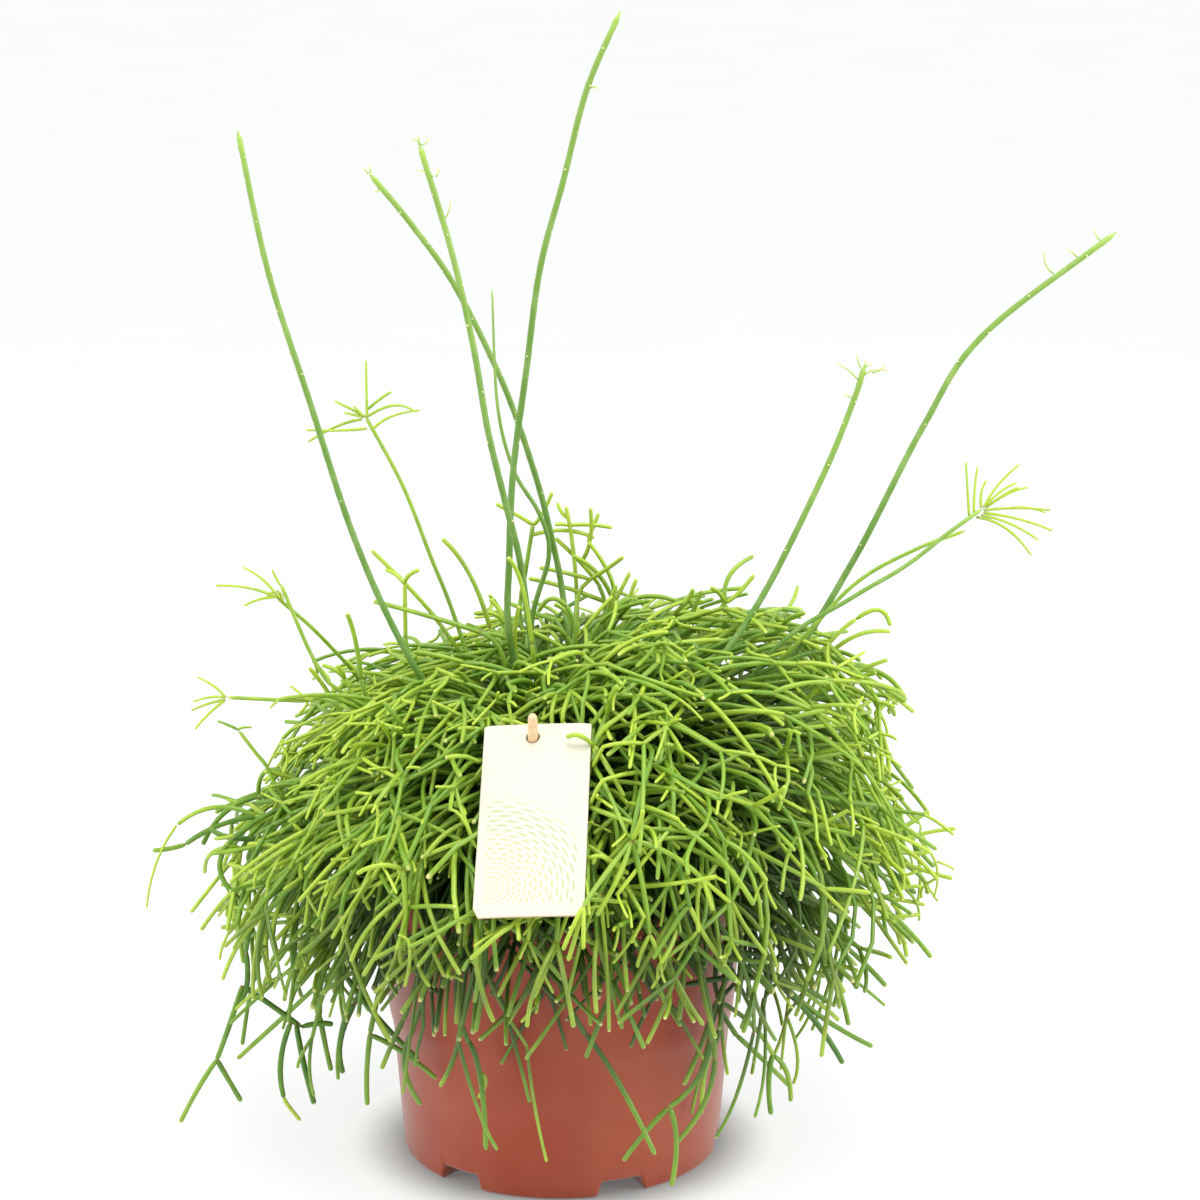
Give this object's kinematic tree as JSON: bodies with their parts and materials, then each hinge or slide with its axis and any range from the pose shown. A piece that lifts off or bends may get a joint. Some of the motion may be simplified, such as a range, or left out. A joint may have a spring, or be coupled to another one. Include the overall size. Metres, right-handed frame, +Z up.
{
  "type": "potted mistletoe cactus",
  "caption": "Mistletoe cactus in a round plastic pot: a dense dome of thin leafless branching stems with long bare canes, and a plant card on a stick.",
  "frame": {"origin": "centre of the pot's flat underside, on the surface that it stands on", "axes": "+Z up; the plant is seen from -Y, the side that the card is on; +X to the viewer's right"},
  "size_m": [0.4254, 0.3222, 0.5025],
  "materials": {
    "pot_plastic": "satin moulded terracotta-coloured plastic",
    "peat": "dark loose fibrous peat",
    "green_stem": "smooth waxy green skin with a faint sheen",
    "stick_wood": "plain light unfinished wood",
    "card_plastic": "thin off-white satin plastic with a soft pale green pattern"
  },
  "bodies": {
    "root": {"pot": "pot_plastic", "soil": "peat", "stems_middle": "green_stem", "stems_01": "green_stem", "stems_02": "green_stem", "stems_03": "green_stem", "stems_04": "green_stem", "stems_05": "green_stem", "stems_06": "green_stem", "stems_07": "green_stem", "stems_08": "green_stem", "stems_09": "green_stem", "stems_10": "green_stem", "stems_11": "green_stem", "stems_12": "green_stem", "card_stick": "stick_wood", "plant_card": "card_plastic"}
  },
  "joints": []
}
